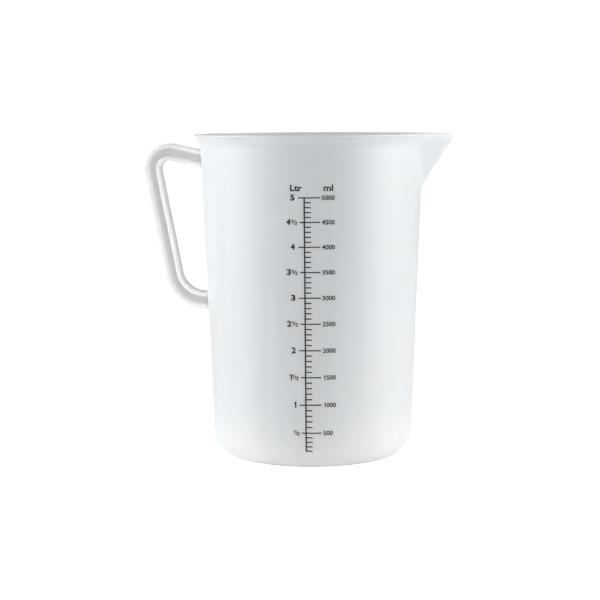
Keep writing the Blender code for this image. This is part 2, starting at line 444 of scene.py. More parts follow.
@dataclass(frozen=True)
class MilkyPlastic:
    """Natural polypropylene: milky, softly satin, with faint clouds and streaks where the melt flowed.

    Its colour is painted whiter towards the heel, a painted stand-in for light bounced up from the floor, and
    painted grey on the foot ring, a painted contact shadow.
    """

    name: str = "milky_wall"
    deep: Colour = (0.665, 0.687, 0.702, 1.0)
    pale: Colour = (0.73, 0.747, 0.757, 1.0)
    colour_stops: Point2 = (0.25, 0.75)
    cloud_scale: float = 9.0
    streak_scale: Point3 = (34.0, 34.0, 3.5)
    flow_detail: float = 1.0
    flow_span: Point2 = (0.3, 0.7)
    rough_span: Point2 = (0.41, 0.47)
    # Painted floor bounce light: a warm white tint laid over the lowest part of the wall, fading out by this
    # height.
    thick_gain: float = 0.23
    thick_height: float = 0.055
    thick_colour: Colour = (1.0, 0.98, 0.95, 1.0)
    # Painted contact shadow: a grey tint laid over the lowest few millimetres, on the foot ring.
    scuff_depth: float = 0.75
    scuff_height: float = 0.0045
    scuff_colour: Colour = (0.40, 0.405, 0.41, 1.0)
    grain_scale: float = 950.0
    grain_detail: float = 2.0
    grain_strength: float = 0.6
    grain_depth: float = 0.00004
    scatter: Point3 = (0.9, 1.0, 1.08)
    scatter_scale: float = 0.003
    scatter_weight: float = 0.75
    index: float = 1.49

    def build(self) -> Material:
        """Make the material.

        Returns:
            A material whose colour, roughness and bump come from noise on Object coordinates.
        """
        made, graph, shader = new_material(self.name)
        place = graph.place()
        clouds = graph.noise(place, self.cloud_scale, self.flow_detail)
        stretch = graph.node("ShaderNodeMapping", {"Vector": place, "Scale": self.streak_scale})
        streaks = graph.noise(stretch.outputs["Vector"], 1.0, self.flow_detail)
        flow = graph.math("MULTIPLY", graph.math("ADD", clouds, streaks), 0.5)
        colour = graph.ramp(flow, *zip(self.colour_stops, (self.deep, self.pale)))
        level = graph.split(place)[2]
        # Painted light in the colour: the floor's bounce light towards the heel, then the contact shadow on
        # the foot ring.
        for height, most, over in (
            (self.thick_height, self.thick_gain, self.thick_colour),
            (self.scuff_height, self.scuff_depth, self.scuff_colour),
        ):
            share = graph.spread(level, (height, 0.0), (0.0, most), "SMOOTHSTEP")
            colour = graph.tint(share, colour, over)
        grain = graph.noise(place, self.grain_scale, self.grain_detail)
        for label, source in {
            "Base Color": colour,
            "Roughness": graph.spread(flow, self.flow_span, self.rough_span),
            "Normal": graph.relief(grain, self.grain_strength, self.grain_depth),
            "IOR": self.index,
            "Subsurface Weight": self.scatter_weight,
            "Subsurface Radius": self.scatter,
            "Subsurface Scale": self.scatter_scale,
        }.items():
            graph.feed(source, shader[label])
        return made


@dataclass(frozen=True)
class ScreenInk:
    """Matt black screen ink, a little thinner and greyer where the mesh left pinholes."""

    name: str = "screen_ink"
    full: Colour = (0.011, 0.012, 0.014, 1.0)
    thin: Colour = (0.05, 0.052, 0.056, 1.0)
    thin_stops: Point2 = (0.5, 0.8)
    speckle_scale: float = 1400.0
    speckle_detail: float = 2.0
    rough_span: Point2 = (0.5, 0.66)
    strength: float = 0.5
    depth: float = 0.00002

    def build(self) -> Material:
        """Make the material.

        Returns:
            A material with speckled colour, roughness and bump.
        """
        made, graph, shader = new_material(self.name)
        speckle = graph.noise(graph.place(), self.speckle_scale, self.speckle_detail)
        colour = graph.ramp(speckle, *zip(self.thin_stops, (self.full, self.thin)))
        graph.feed(colour, shader["Base Color"])
        graph.feed(graph.spread(speckle, (0.0, 1.0), self.rough_span), shader["Roughness"])
        graph.feed(graph.relief(speckle, self.strength, self.depth), shader["Normal"])
        return made


# ---------------------------------------------------------------- vessel


@dataclass(frozen=True)
class Ring:
    """One ring of the shell: its plain radius and height, and how far inside the spout's outline it is."""

    radius: float
    height: float
    inset: float


@dataclass
class JugShell:
    """Floor, foot ring, heel, wall, rim and spout as one closed shell."""

    vessel: Vessel
    finish: Material
    outer_blend: float = 0.0032
    inner_blend: float = 0.0042
    edge_softening: float = 0.00035
    flare_blend: float = 0.0016
    spout_foot: float = 0.212
    foot_softening: float = 0.0008
    foot_cut: float = 0.28
    root_clear: float = 0.0034
    flare_clear: float = 0.0026
    edge_clear: float = 0.0003
    edge_hold: float = 0.0001
    under_hold: float = 0.00008
    foot_share: float = 0.3
    top_share: float = 1.6
    mouth_share: float = 0.6
    bottom_shares: tuple[float, ...] = (0.12, 0.3, 0.5, 0.68, 0.84, 0.94)
    slope_shares: tuple[float, ...] = (0.45, 0.66)
    foot_shares: tuple[float, ...] = (0.35, 0.65, 0.9)
    floor_shares: tuple[float, ...] = (0.92, 0.78, 0.6, 0.42, 0.25, 0.1)
    outer_heel_steps: int = 18
    inner_heel_steps: int = 14
    low_steps: int = 12
    wall_steps: int = 40
    flare_steps: int = 14
    corner_steps: int = 4
    coarse_turn: float = math.radians(1.5)
    fine_turn: float = math.radians(0.36)

    def turns(self) -> list[float]:
        """Directions of the shell's columns, closer together across the spout."""
        window = self.vessel.facing()
        fine = spaced(-window, window, round(2 * window / self.fine_turn))
        rest = 2 * math.pi - 2 * window
        coarse = spaced(window, window + rest, round(rest / self.coarse_turn))
        return fine + coarse[1:-1]

    def underside(self) -> list[Ring]:
        """Rings from the middle of the raised underside out to the foot ring's outer edge."""
        v = self.vessel
        foot = v.heel_centre(Side.OUTER)[0]
        inner = foot - v.foot_width
        shoulder = inner - v.foot_recess
        soft, cut = self.foot_softening, self.foot_softening * self.foot_cut
        line = [(shoulder * share, v.foot_recess) for share in self.bottom_shares]
        line += [(shoulder - soft, v.foot_recess), (shoulder, v.foot_recess - cut)]
        line += [(shoulder + soft, v.foot_recess - soft)]
        drop = v.foot_recess
        line += [(shoulder + drop * share, drop * (1 - share)) for share in self.slope_shares]
        line += [(inner - soft, soft), (inner, cut), (inner + soft, 0.0)]
        line += [(inner + v.foot_width * share, 0.0) for share in self.foot_shares]
        return [Ring(r, z, 0.0) for r, z in line]

    def insets(self, side: Side) -> tuple[float, float]:
        """How far a face lies inside the wall's outside, and inside the spout's."""
        return (0.0, 0.0) if side is Side.OUTER else (self.vessel.wall, self.vessel.spout_inset())

    def wall_side(self, side: Side) -> list[Ring]:
        """Rings of one face of the wall from the heel up to the rim's root.

        Args:
            side: The outer or the inner face.

        Returns:
            The rings from the bottom up.
        """
        v = self.vessel
        inset, beak_inset = self.insets(side)
        steps = self.outer_heel_steps if side is Side.OUTER else self.inner_heel_steps
        line = v.heel(side, steps)
        heights = spaced(line[-1][1], self.spout_foot, self.low_steps)[1:]
        heights += spaced(self.spout_foot, v.rim_root - self.root_clear, self.wall_steps)[1:]
        line += [(v.cone(z, inset), z) for z in heights]
        return [Ring(r, z, beak_inset) for r, z in line]

    def flare(self, side: Side) -> list[Ring]:
        """Rings of the flared rim on one face, with a fillet at its root.

        Args:
            side: The outer or the inner face.

        Returns:
            The rings from the root up to the upright edge.
        """
        v = self.vessel
        inset, beak_inset = self.insets(side)
        top = v.height - v.rim_edge
        reach = v.rim_radius - v.rim_overhang - inset
        root = v.rim_root
        slope = (reach - v.cone(root, inset)) / (top - root)
        rings = []
        for z in spaced(root - self.flare_clear, top - self.edge_clear, self.flare_steps):
            flared = v.cone(root, inset) + slope * (z - root)
            rings.append(Ring(smooth_max(v.cone(z, inset), flared, self.flare_blend), z, beak_inset))
        return rings

    def rim(self) -> list[Ring]:
        """Rings round the rim's upright edge, from the flare's outside over the top to its inside."""
        v = self.vessel
        soft = self.edge_softening
        foot = soft * self.foot_share
        under = v.height - v.rim_edge
        flare = v.rim_radius - v.rim_overhang
        inner = flare - v.wall
        inset = v.spout_inset()
        # The edge's foot is cut by a share of its softening; its two top corners are arcs.
        rings = [
            Ring(flare + self.edge_hold, under - self.under_hold, 0.0),
            Ring(v.rim_radius - soft, under, 0.0),
            Ring(v.rim_radius - foot, under + foot, 0.0),
            Ring(v.rim_radius, under + soft, 0.0),
            Ring(v.rim_radius, v.height - soft * self.top_share, 0.0),
        ]
        for x, z in arc((v.rim_radius - soft, v.height - soft), soft, 0.0, math.pi / 2, self.corner_steps):
            rings.append(Ring(x, z, v.rim_radius - x))
        inside = inner + self.edge_clear
        rings.append(Ring((v.rim_radius + inside) / 2, v.height, inset / 2))
        for x, z in arc((inside + soft, v.height - soft), soft, math.pi / 2, math.pi, self.corner_steps):
            rings.append(Ring(x, z, inset - (x - inside)))
        rings.append(Ring(inside - self.edge_hold, v.height - v.rim_edge * self.mouth_share, inset))
        return rings

    def floor_rings(self) -> list[Ring]:
        """Rings of the floor's inner face, from the heel in to its middle."""
        v = self.vessel
        edge = v.heel_centre(Side.INNER)[0]
        inset = v.spout_inset()
        return [Ring(edge * share, v.floor_level(), inset) for share in self.floor_shares]

    def radius(self, ring: Ring, turn: float, blend: float) -> float:
        """Radius of a ring in one direction, with the spout's V joined on."""
        if abs(turn) > self.vessel.facing() or ring.height < self.spout_foot:
            return ring.radius
        return smooth_max(ring.radius, self.vessel.beak(turn, ring.height, ring.inset), blend)

    def build(self) -> Object:
        """Make the shell.

        Returns:
            The finished piece, riding and dressed.
        """
        v = self.vessel
        outer = self.underside() + self.wall_side(Side.OUTER) + self.flare(Side.OUTER)
        edge = self.rim()
        inner = self.wall_side(Side.INNER) + self.flare(Side.INNER)
        rings = outer + edge + inner[::-1] + self.floor_rings()
        crown = len(outer) + len(edge) // 2
        columns = self.turns()
        points: list[Point3] = []
        for index, ring in enumerate(rings):
            blend = self.outer_blend if index < crown else self.inner_blend
            for turn in columns:
                reach = self.radius(ring, turn, blend)
                points.append((v.axis_x + reach * math.cos(turn), reach * math.sin(turn), ring.height))
        count = len(columns)
        faces = tube_faces(len(rings), count)
        bottom, top = len(points), len(points) + 1
        points += [(v.axis_x, 0.0, v.foot_recess), (v.axis_x, 0.0, v.floor_level())]
        last = (len(rings) - 1) * count
        for i in range(count):
            after = (i + 1) % count
            faces.append((bottom, after, i))
            faces.append((top, last + i, last + after))
        made = mesh_object("jug_shell", points, faces)
        made.data.materials.append(self.finish)
        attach(made, BODY)
        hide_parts("base_dish", "side_wall", "rim_lip", "pour_spout")
        return made


# ---------------------------------------------------------------- handle


@dataclass(frozen=True)
class Station:
    """A place along the handle: a point on its outer face, its outward direction and the way along it."""

    at: Vector
    outward: Vector
    along: Vector


@dataclass
class Handle:
    """The closed handle, an H section swept from the wall out, down the grip and back to the wall."""

    vessel: Vessel
    finish: Material
    reach: float
    top: float
    foot: float
    width: float
    section: float = 0.0141
    flange: float = 0.0031
    flange_root: float = 0.0037
    web: float = 0.0026
    tip_radius: float = 0.0013
    root_radius: float = 0.0013
    crest_radius: float = 0.0212
    heel_radius: float = 0.0347
    grip_lean: float = math.radians(10.95)
    arm_fall: float = math.radians(12.8)
    bite: float = 0.0009
    root_gaps: tuple[float, ...] = (0.0, 0.00012, 0.0003, 0.0006, 0.001, 0.0015, 0.0022, 0.0032, 0.0046)
    arm_clear: float = 0.0075
    foot_clear: float = 0.0016
    wall_fillet: float = 0.0022
    arm_shares: tuple[float, ...] = (1.0, 0.8, 0.6, 0.4, 0.2)
    bend_steps: int = 26
    grip_steps: int = 16
    corner_steps: int = 4
    slide_rounds: int = 6
    sharp_angle: float = math.radians(60)

    @classmethod
    def from_frame(cls, vessel: Vessel, finish: Material) -> "Handle":
        """Read the handle's places from the frame.

        Args:
            vessel: The vessel it stands on.
            finish: Its material.

        Returns:
            The handle, as far out and as low as the CAD has it.
        """
        low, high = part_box("handle_outer_flange")
        reach = vessel.axis_x - low.x
        return cls(vessel, finish, reach=reach, top=high.z, foot=low.z, width=high.y - low.y)

    def outline(self) -> list[Point2]:
        """The H in section as (depth below the outer face, place across)."""
        d, w, t = self.section, self.width / 2, self.web / 2
        f, g = self.flange, self.flange_root
        tip, root = self.tip_radius, self.root_radius
        half = [(f, w, tip), (0.0, w, tip), (0.0, -w, tip), (f, -w, tip), (g, -t, root), (d - g, -t, root)]
        other = [(d - f, -w, tip), (d, -w, tip), (d, w, tip), (d - f, w, tip), (d - g, t, root), (g, t, root)]
        return rounded(half + other, self.corner_steps)

    def curves(self) -> tuple[Vector, Vector, Vector, Vector]:
        """Centres of the crest's and the heel's arcs, and the directions of the upper arm and the grip.

        Returns:
            Crest centre, heel centre, outward direction of the upper arm, outward direction of the grip.
        """
        arm = Vector((math.sin(self.arm_fall), math.cos(self.arm_fall)))
        grip = Vector((-math.cos(self.grip_lean), -math.sin(self.grip_lean)))
        crest = Vector((self.crest_radius - self.reach, self.top - self.crest_radius))
        heel_z = self.foot + self.heel_radius
        face = grip.dot(crest) + self.crest_radius
        heel_x = (face - self.heel_radius - grip.y * heel_z) / grip.x
        return crest, Vector((heel_x, heel_z)), arm, grip

    def bend(self, centre: Vector, radius: float, start: float, end: float) -> list[Station]:
        """Stations round a bend.

        Args:
            centre: Centre of the outer face's arc.
            radius: Its radius.
            start: Outward direction at the bend's start, in radians.
            end: Outward direction at its end.

        Returns:
            The stations in order.
        """
        made = []
        for angle in spaced(start, end, self.bend_steps):
            normal = Vector((math.cos(angle), math.sin(angle)))
            made.append(Station(centre + normal * radius, normal, Vector((-normal.y, normal.x))))
        return made

    def stations(self) -> list[Station]:
        """Stations round the free part, from the upper arm's end to the lower arm's start.

        Returns:
            The stations in order.
        """
        crest, heel, arm, grip = self.curves()
        up = math.atan2(arm.y, arm.x)
        out = math.atan2(grip.y, grip.x) % (2 * math.pi)
        free = self.bend(crest, self.crest_radius, up, out)
        start, end = free[-1].at, heel + grip * self.heel_radius
        for share in spaced(0.0, 1.0, self.grip_steps)[1:]:
            free.append(Station(start.lerp(end, share), grip, Vector((-grip.y, grip.x))))
        return free + self.bend(heel, self.heel_radius, out, 1.5 * math.pi)[1:]

    def on_wall(self, station: Station, inward: Vector, depth: float, across: float, gap: float) -> Vector:
        """Slide a point of the section along an arm until it is a given distance off the wall.

        Args:
            station: The station whose section slides.
            inward: The way towards the wall.
            depth: The point's depth below the outer face.
            across: Its place across the handle.
            gap: Distance off the wall, negative inside it.

        Returns:
            The point, about the vessel's axis.
        """
        base = station.at - station.outward * depth
        run = 0.0
        for _ in range(self.slide_rounds):
            z = base.y + inward.y * run
            x = -math.sqrt((self.vessel.cone(z) + gap) ** 2 - across**2)
            run = (x - base.x) / inward.x
        place = base + inward * run
        return Vector((place.x, across, place.y))

    def fillet(self, gap: float) -> float:
        """How much the section grows at a distance off the wall."""
        left = self.wall_fillet - max(gap, 0.0)
        if left <= 0.0:
            return 0.0
        return self.wall_fillet - math.sqrt(max(self.wall_fillet**2 - left**2, 0.0))

    def outline_normals(self, outline: Sequence[Point2]) -> list[Vector]:
        """Directions that grow the section at each point of its outline.

        Args:
            outline: The section's points.

        Returns:
            One unit vector for each point, out of the plastic.
        """
        count = len(outline)
        twice_area = sum(
            outline[i - 1][0] * outline[i][1] - outline[i][0] * outline[i - 1][1] for i in range(count)
        )
        turn = 1.0 if twice_area > 0.0 else -1.0
        normals = []
        for i in range(count):
            side = (Vector(outline[(i + 1) % count]) - Vector(outline[i - 1])).normalized()
            normals.append(Vector((side.y, -side.x)) * turn)
        return normals

    def free_ring(self, station: Station, slide: float = 0.0) -> list[Vector]:
        """The section at a station, slid along the handle.

        Args:
            station: Where the section stands.
            slide: Distance along the handle, negative back towards the upper arm's root.

        Returns:
            The ring's points about the vessel's axis.
        """
        ring = []
        for depth, across in self.outline():
            place = station.at - station.outward * depth + station.along * slide
            ring.append(Vector((place.x, across, place.y)))
        return ring

    def root_ring(self, station: Station, inward: Vector, gap: float) -> list[Vector]:
        """The section at a distance off the wall, grown by the fillet there.

        Args:
            station: The station whose section slides to the wall.
            inward: The way towards the wall.
            gap: Distance off the wall, negative inside it.

        Returns:
            The ring's points about the vessel's axis.
        """
        outline = self.outline()
        grow = self.fillet(gap)
        ring = []
        for (depth, across), normal in zip(outline, self.outline_normals(outline)):
            ring.append(
                self.on_wall(station, inward, depth + normal.x * grow, across + normal.y * grow, gap)
            )
        return ring

    def build(self) -> Object:
        """Make the handle.

        Returns:
            The finished piece, riding and dressed.
        """
        v = self.vessel
        free = self.stations()
        first, last = free[0], free[-1]
        gaps = (-self.bite, *self.root_gaps)
        rings = [self.root_ring(first, -first.along, gap) for gap in gaps]
        arm = (first.at.x + v.cone(first.at.y) + self.arm_clear) / first.along.x
        rings += [self.free_ring(first, -arm * share) for share in self.arm_shares]
        rings += [self.free_ring(station) for station in free]
        rings += [self.root_ring(last, last.along, gap) for gap in gaps[::-1] if gap < self.foot_clear]
        count = len(rings[0])
        points = [(v.axis_x + p.x, p.y, p.z) for ring in rings for p in ring]
        faces = [tuple(range(count)), *tube_faces(len(rings), count)]
        faces.append(tuple(range(len(points) - count, len(points))))
        made = mesh_object("jug_handle", points, faces)
        made.data.set_sharp_from_angle(angle=self.sharp_angle)
        made.data.materials.append(self.finish)
        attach(made, BODY)
        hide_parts("handle_outer_flange", "handle_web", "handle_inner_flange")
        return made


# ---------------------------------------------------------------- printed scale


@dataclass(frozen=True)
class Mark:
    """One line of the scale: its level and how far it runs left and right of the stem's middle."""

    level: float
    left: float
    right: float


@dataclass(frozen=True)
class Lettering:
    """A run of characters: how it is drawn, and how far right and up of a corner it stands."""

    text: str
    height: float
    bold: float
    right: float
    up: float
    advance: float | None = None


@dataclass
class PrintedScale:
    """Stem, lines and numerals as a film of ink on the front of the wall."""

    vessel: Vessel
    ink: Material
    film: float = 0.00008
    sink: float = 0.00003
    stem_width: float = 0.0011
    line_width: float = 0.0009
    big_height: float = 0.0049
    small_height: float = 0.0037
    big_right_edge: float = -0.0078
    half_digit_right: float = -0.0112
    fraction_left: float = -0.0107
    small_left: float = 0.0141
    small_advance: float = 0.00275
    big_lift: float = 0.0003
    big_stroke: float = 0.0010
    big_advance: float = 0.0037
    small_stroke: float = 0.0007
    big_bold: float = 0.034
    small_bold: float = 0.018
    small_indent: float = 0.0007
    half_indent: float = 0.0006
    half_height: float = 0.0028
    half_stroke: float = 0.0007
    half_up: float = 0.0017
    slash: Lettering = Lettering("/", 0.0036, 0.016, 0.0016, 0.0006)
    half_two: Lettering = Lettering("2", 0.0028, 0.034, 0.0030, 0.0002)
    litre_unit: Lettering = Lettering("Ltr", 0.0052, 0.03, -0.0114, 0.0054, 0.0034)
    millilitre_unit: Lettering = Lettering("ml", 0.0052, 0.026, 0.0156, 0.0054, 0.00414)
    major_reach: float = 0.002
    millilitres: int = 500
    strip_points: int = 15
    stem_points: int = 121
    stem_proud: float = 0.00001
    type_height: float = 0.682
    type_depth: float = 0.02
    type_fill: float = 0.955
    weld: float = 1e-7
    marks: list[Mark] = field(default_factory=list)

    def read_marks(self) -> list[Mark]:
        """Read every line's level and ends from the frame's own scale.

        Returns:
            The marks from the lowest up.
        """
        v = self.vessel
        found: list[tuple[float, float]] = []
        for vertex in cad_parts["volume_scale"].data.vertices:
            x, y, z = vertex.co
            turn = math.atan2(x - v.axis_x, -y)
            found.append((z, turn * math.hypot(x - v.axis_x, y)))
        found.sort()
        rows = [[found[0]]]
        for place in found[1:]:
            if place[0] - rows[-1][-1][0] > self.line_width / 4:
                rows.append([])
            rows[-1].append(place)
        marks = []
        for low, high in zip(rows[::2], rows[1::2]):
            runs = [run for _, run in low + high]
            marks.append(Mark((low[0][0] + high[0][0]) / 2, min(runs), max(runs)))
        return marks

    def wrap(self, graph: Graph, geometry: object, source: Node) -> NodeSocket:
        """Add the nodes that lay a flat film on the wall.

        The flat film has its place along the wall in X, its depth in Y and its height in Z.

        Args:
            graph: The tree to build in.
            geometry: The flat geometry's socket.
            source: The group's input node, which holds the vessel's sizes.

        Returns:
            The wrapped geometry's socket.
        """
        size = source.outputs
        along, depth, level = graph.split(graph.node("GeometryNodeInputPosition").outputs[0])
        cone = graph.math("MULTIPLY_ADD", level, size["Taper"], size["Cone Radius"])
        below = graph.math("MAXIMUM", graph.math("SUBTRACT", size["Heel Level"], level), 0.0)
        squares = [graph.math("POWER", term, 2.0) for term in (size["Heel Radius"], below)]
        heel = graph.math("ADD", graph.math("SQRT", graph.math("SUBTRACT", *squares)), size["Heel Centre"])
        # Above the heel its arc is set a metre further out, so the cone is the nearer of the two.
        outside = graph.math("ADD", heel, graph.math("LESS_THAN", below, 1e-6))
        radius = graph.math("MINIMUM", cone, outside)
        turn = graph.math("DIVIDE", along, radius)
        reach = graph.math("SUBTRACT", radius, depth)
        x = graph.math("MULTIPLY_ADD", reach, graph.math("SINE", turn), size["Axis X"])
        back = graph.math("MULTIPLY", reach, graph.math("COSINE", turn))
        place = graph.vector(x, graph.math("MULTIPLY", back, -1.0), level)
        lay = graph.node("GeometryNodeSetPosition", {"Geometry": geometry, "Position": place})
        return lay.outputs[0]

    def vessel_inputs(self) -> dict[str, float]:
        """The vessel's sizes that both trees take, by input name."""
        v = self.vessel
        centre, level, radius = v.heel_centre(Side.OUTER)
        return {
            "Axis X": v.axis_x,
            "Cone Radius": v.cone(0.0),
            "Taper": v.taper,
            "Heel Centre": centre,
            "Heel Level": level,
            "Heel Radius": radius,
        }

    def new_tree(self, name: str, sizes: dict[str, float]) -> tuple[Graph, Node, Node]:
        """Start a Geometry Nodes tree with named inputs.

        Args:
            name: The tree's name.
            sizes: Its float inputs by name.

        Returns:
            The graph, its input node and its output node.
        """
        tree = bpy.data.node_groups.new(name, "GeometryNodeTree")
        tree.interface.new_socket("Geometry", in_out="INPUT", socket_type="NodeSocketGeometry")
        for label in sizes:
            tree.interface.new_socket(label, in_out="INPUT", socket_type="NodeSocketFloat")
        tree.interface.new_socket("Ink", in_out="INPUT", socket_type="NodeSocketMaterial")
        tree.interface.new_socket("Geometry", in_out="OUTPUT", socket_type="NodeSocketGeometry")
        graph = Graph(tree)
        return graph, graph.node("NodeGroupInput"), graph.node("NodeGroupOutput")

    def finish_tree(self, graph: Graph, source: Node, sink: Node, geometry: object) -> None:
        """End a tree in Realize Instances, the wrap and Set Material."""
        real = graph.node("GeometryNodeRealizeInstances", {0: geometry})
        wrapped = self.wrap(graph, real.outputs[0], source)
        ink = source.outputs["Ink"]
        paint = graph.node("GeometryNodeSetMaterial", {"Geometry": wrapped, "Material": ink})
        graph.feed(paint.outputs[0], sink.inputs["Geometry"])

    def run_tree(self, name: str, flat: Mesh, tree: NodeTree,
                 sizes: dict[str, float]) -> Object:
        """Evaluate a tree on a flat mesh and keep the result as a plain mesh.

        Args:
            name: The piece's name.
            flat: The mesh that feeds the tree.
            tree: The tree.
            sizes: Values of its named inputs.

        Returns:
            The finished piece, riding and dressed.
        """
        holder = linked(name + "_source", flat)
        modifier = holder.modifiers.new("print", "NODES")
        modifier.node_group = tree
        for item in tree.interface.items_tree:
            if item.in_out == "INPUT" and item.name in sizes:
                modifier[item.identifier] = sizes[item.name]
            elif item.in_out == "INPUT" and item.name == "Ink":
                modifier[item.identifier] = self.ink
        mesh = plain_mesh(holder)
        mesh.name = name
        face_outwards(mesh, self.weld)
        made = linked(name, mesh)
        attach(made, BODY)
        return made

    def build_lines(self) -> Object:
        """Print the stem and its lines, one instance of a strip for each line.

        Returns:
            The finished piece, which stands for the frame's scale.
        """
        self.marks = self.read_marks()
        lift = self.film / 2 - self.sink
        sizes = self.vessel_inputs() | {
            "Film": self.film,
            "Lift": lift,
            "Line Width": self.line_width,
            "Stem Width": self.stem_width,
            "Stem Bottom": self.marks[0].level - self.line_width / 2,
            "Stem Top": self.marks[-1].level + self.line_width / 2,
        }
        graph, source, sink = self.new_tree("scale_lines", sizes)
        size = source.outputs
        strip = graph.node("GeometryNodeMeshCube", {"Vertices X": self.strip_points})
        length = graph.node("GeometryNodeInputNamedAttribute", {"Name": "run"}, data_type="FLOAT")
        stretch = graph.vector(length.outputs[0], size["Film"], size["Line Width"])
        strips = {"Points": size["Geometry"], "Instance": strip.outputs["Mesh"], "Scale": stretch}
        copies = graph.node("GeometryNodeInstanceOnPoints", strips)
        deep = graph.math("ADD", size["Film"], self.stem_proud)
        tall = graph.math("SUBTRACT", size["Stem Top"], size["Stem Bottom"])
        form = graph.vector(size["Stem Width"], deep, tall)
        stem = graph.node("GeometryNodeMeshCube", {"Vertices Z": self.stem_points, "Size": form})
        half = graph.math("MULTIPLY", graph.math("ADD", size["Stem Top"], size["Stem Bottom"]), 0.5)
        middle = graph.vector(0.0, graph.math("MULTIPLY", size["Lift"], -1.0), half)
        move = graph.node("GeometryNodeTransform", {"Geometry": stem.outputs["Mesh"], "Translation": middle})
        join = graph.node("GeometryNodeJoinGeometry")
        for part in (move, copies):
            graph.feed(part.outputs[0], join.inputs[0])
        self.finish_tree(graph, source, sink, join.outputs[0])
        flat = bpy.data.meshes.new("scale_points")
        flat.from_pydata([((m.left + m.right) / 2, -lift, m.level) for m in self.marks], [], [])
        run = flat.attributes.new("run", "FLOAT", "POINT")
        run.data.foreach_set("value", [m.right - m.left for m in self.marks])
        made = self.run_tree("scale_lines", flat, graph.tree, sizes)
        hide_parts("volume_scale")
        return made

    def glyphs(self, text: str, height: float, bold: float, advance: float | None = None) -> Mesh:
        """Make a run of text as a flat closed film, its lower left corner at the origin.

        Args:
            text: The characters.
            height: Height of a digit.
            bold: How far the strokes are thickened, as a share of the type size.
            advance: Width that one character takes, or None to keep the type's own.

        Returns:
            A mesh with X along the wall, Y its depth and Z up.
        """
        curve = bpy.data.curves.new("glyphs", "FONT")
        curve.body = text
        curve.size = 1.0
        curve.resolution_u = 3
        curve.offset = bold
        curve.extrude = self.type_depth / 2
        mesh = plain_mesh(linked("glyphs", curve))
        bpy.data.curves.remove(curve)
        places = np.zeros(len(mesh.vertices) * 3, np.float32)
        mesh.vertices.foreach_get("co", places)
        places = places.reshape(-1, 3)
        low, high = places.min(0), places.max(0)
        scale = height / (self.type_height + 2 * bold)
        wide = scale if advance is None else advance * len(text) * self.type_fill / (high[0] - low[0])
        flat = np.empty_like(places)
        flat[:, 0] = (places[:, 0] - low[0]) * wide
        flat[:, 1] = -(places[:, 2] / self.type_depth * self.film) - (self.film / 2 - self.sink)
        flat[:, 2] = (places[:, 1] + bold) * scale
        mesh.vertices.foreach_set("co", flat.reshape(-1))
        return mesh

    def flat_one(self, height: float, stroke: float) -> Mesh:
        """Make a figure one with a flag, as a flat closed film like the other figures.

        Args:
            height: Its height.
            stroke: Width of its upright.

        Returns:
            A mesh with its lower left corner at the origin.
        """
        flag = stroke * 0.85
        wide = flag + stroke
        outline = [
            (wide, 0.0),
            (wide, height),
            (flag + stroke * 0.25, height),
            (flag * 0.7, height * 0.90),
            (0.0, height * 0.82),
            (0.0, height * 0.65),
            (flag, height * 0.73),
            (flag, 0.0),
        ]
        face, back = self.sink - self.film, self.sink
        count = len(outline)
        points = [(x, y, z) for y in (face, back) for x, z in outline]
        faces = [tuple(range(count)), tuple(range(2 * count - 1, count - 1, -1))]
        faces += [(i, (i + 1) % count, count + (i + 1) % count, count + i) for i in range(count)]
        mesh = bpy.data.meshes.new("one")
        mesh.from_pydata(points, [], faces)
        return mesh

    def build_numerals(self) -> Object:
        """Print litres on the left, millilitres on the right and the units above them.

        Returns:
            The finished piece.
        """
        work = bmesh.new()

        def put(mesh: Mesh, left: float, bottom: float, from_right: bool = False) -> None:
            """Add a run of text with its lower corner at a place along the wall."""
            if from_right:
                left -= max(vertex.co.x for vertex in mesh.vertices)
            mesh.transform(Matrix.Translation((left, 0.0, bottom)))
            work.from_mesh(mesh)
            bpy.data.meshes.remove(mesh)

        def put_run(run: Lettering, left: float, bottom: float) -> None:
            """Add a run of characters at its own distance from a corner."""
            put(self.glyphs(run.text, run.height, run.bold, run.advance), left + run.right, bottom + run.up)

        majors = [m for m in self.marks if m.left < -self.major_reach]
        for step, mark in enumerate(majors, start=1):
            litres, odd = divmod(step, 2)
            base = mark.level - self.big_height / 2 + self.big_lift
            if litres:
                edge = self.half_digit_right if odd else self.big_right_edge
                figure = self.flat_one(self.big_height, self.big_stroke)
                if litres > 1:
                    figure = self.glyphs(str(litres), self.big_height, self.big_bold, self.big_advance)
                put(figure, edge, base, True)
            if odd:
                left = self.fraction_left if litres else self.fraction_left + self.half_indent
                put(self.flat_one(self.half_height, self.half_stroke), left, base + self.half_up)
                put_run(self.slash, left, base)
                put_run(self.half_two, left, base)
            text = str(step * self.millilitres)
            left, base = self.small_left, mark.level - self.small_height / 2
            if text[0] == "1":
                put(self.flat_one(self.small_height, self.small_stroke), left + self.small_indent, base)
                text, left = text[1:], left + self.small_advance
            put(self.glyphs(text, self.small_height, self.small_bold, self.small_advance), left, base)
        for unit in (self.litre_unit, self.millilitre_unit):
            put_run(unit, 0.0, self.marks[-1].level)
        flat = bpy.data.meshes.new("numerals_flat")
        work.to_mesh(flat)
        work.free()
        sizes = self.vessel_inputs()
        graph, source, sink = self.new_tree("scale_numerals", sizes)
        self.finish_tree(graph, source, sink, source.outputs["Geometry"])
        return self.run_tree("scale_numerals", flat, graph.tree, sizes)


# ---------------------------------------------------------------- studio


@dataclass(frozen=True)
class Softbox:
    """A rectangular lamp that faces the jug, its azimuth in degrees from the front towards the spout."""

    name: str
    azimuth: float
    power: float
    height: float = 0.22
    distance: float = 1.3
    wide: float = 1.0
    tall: float = 1.3


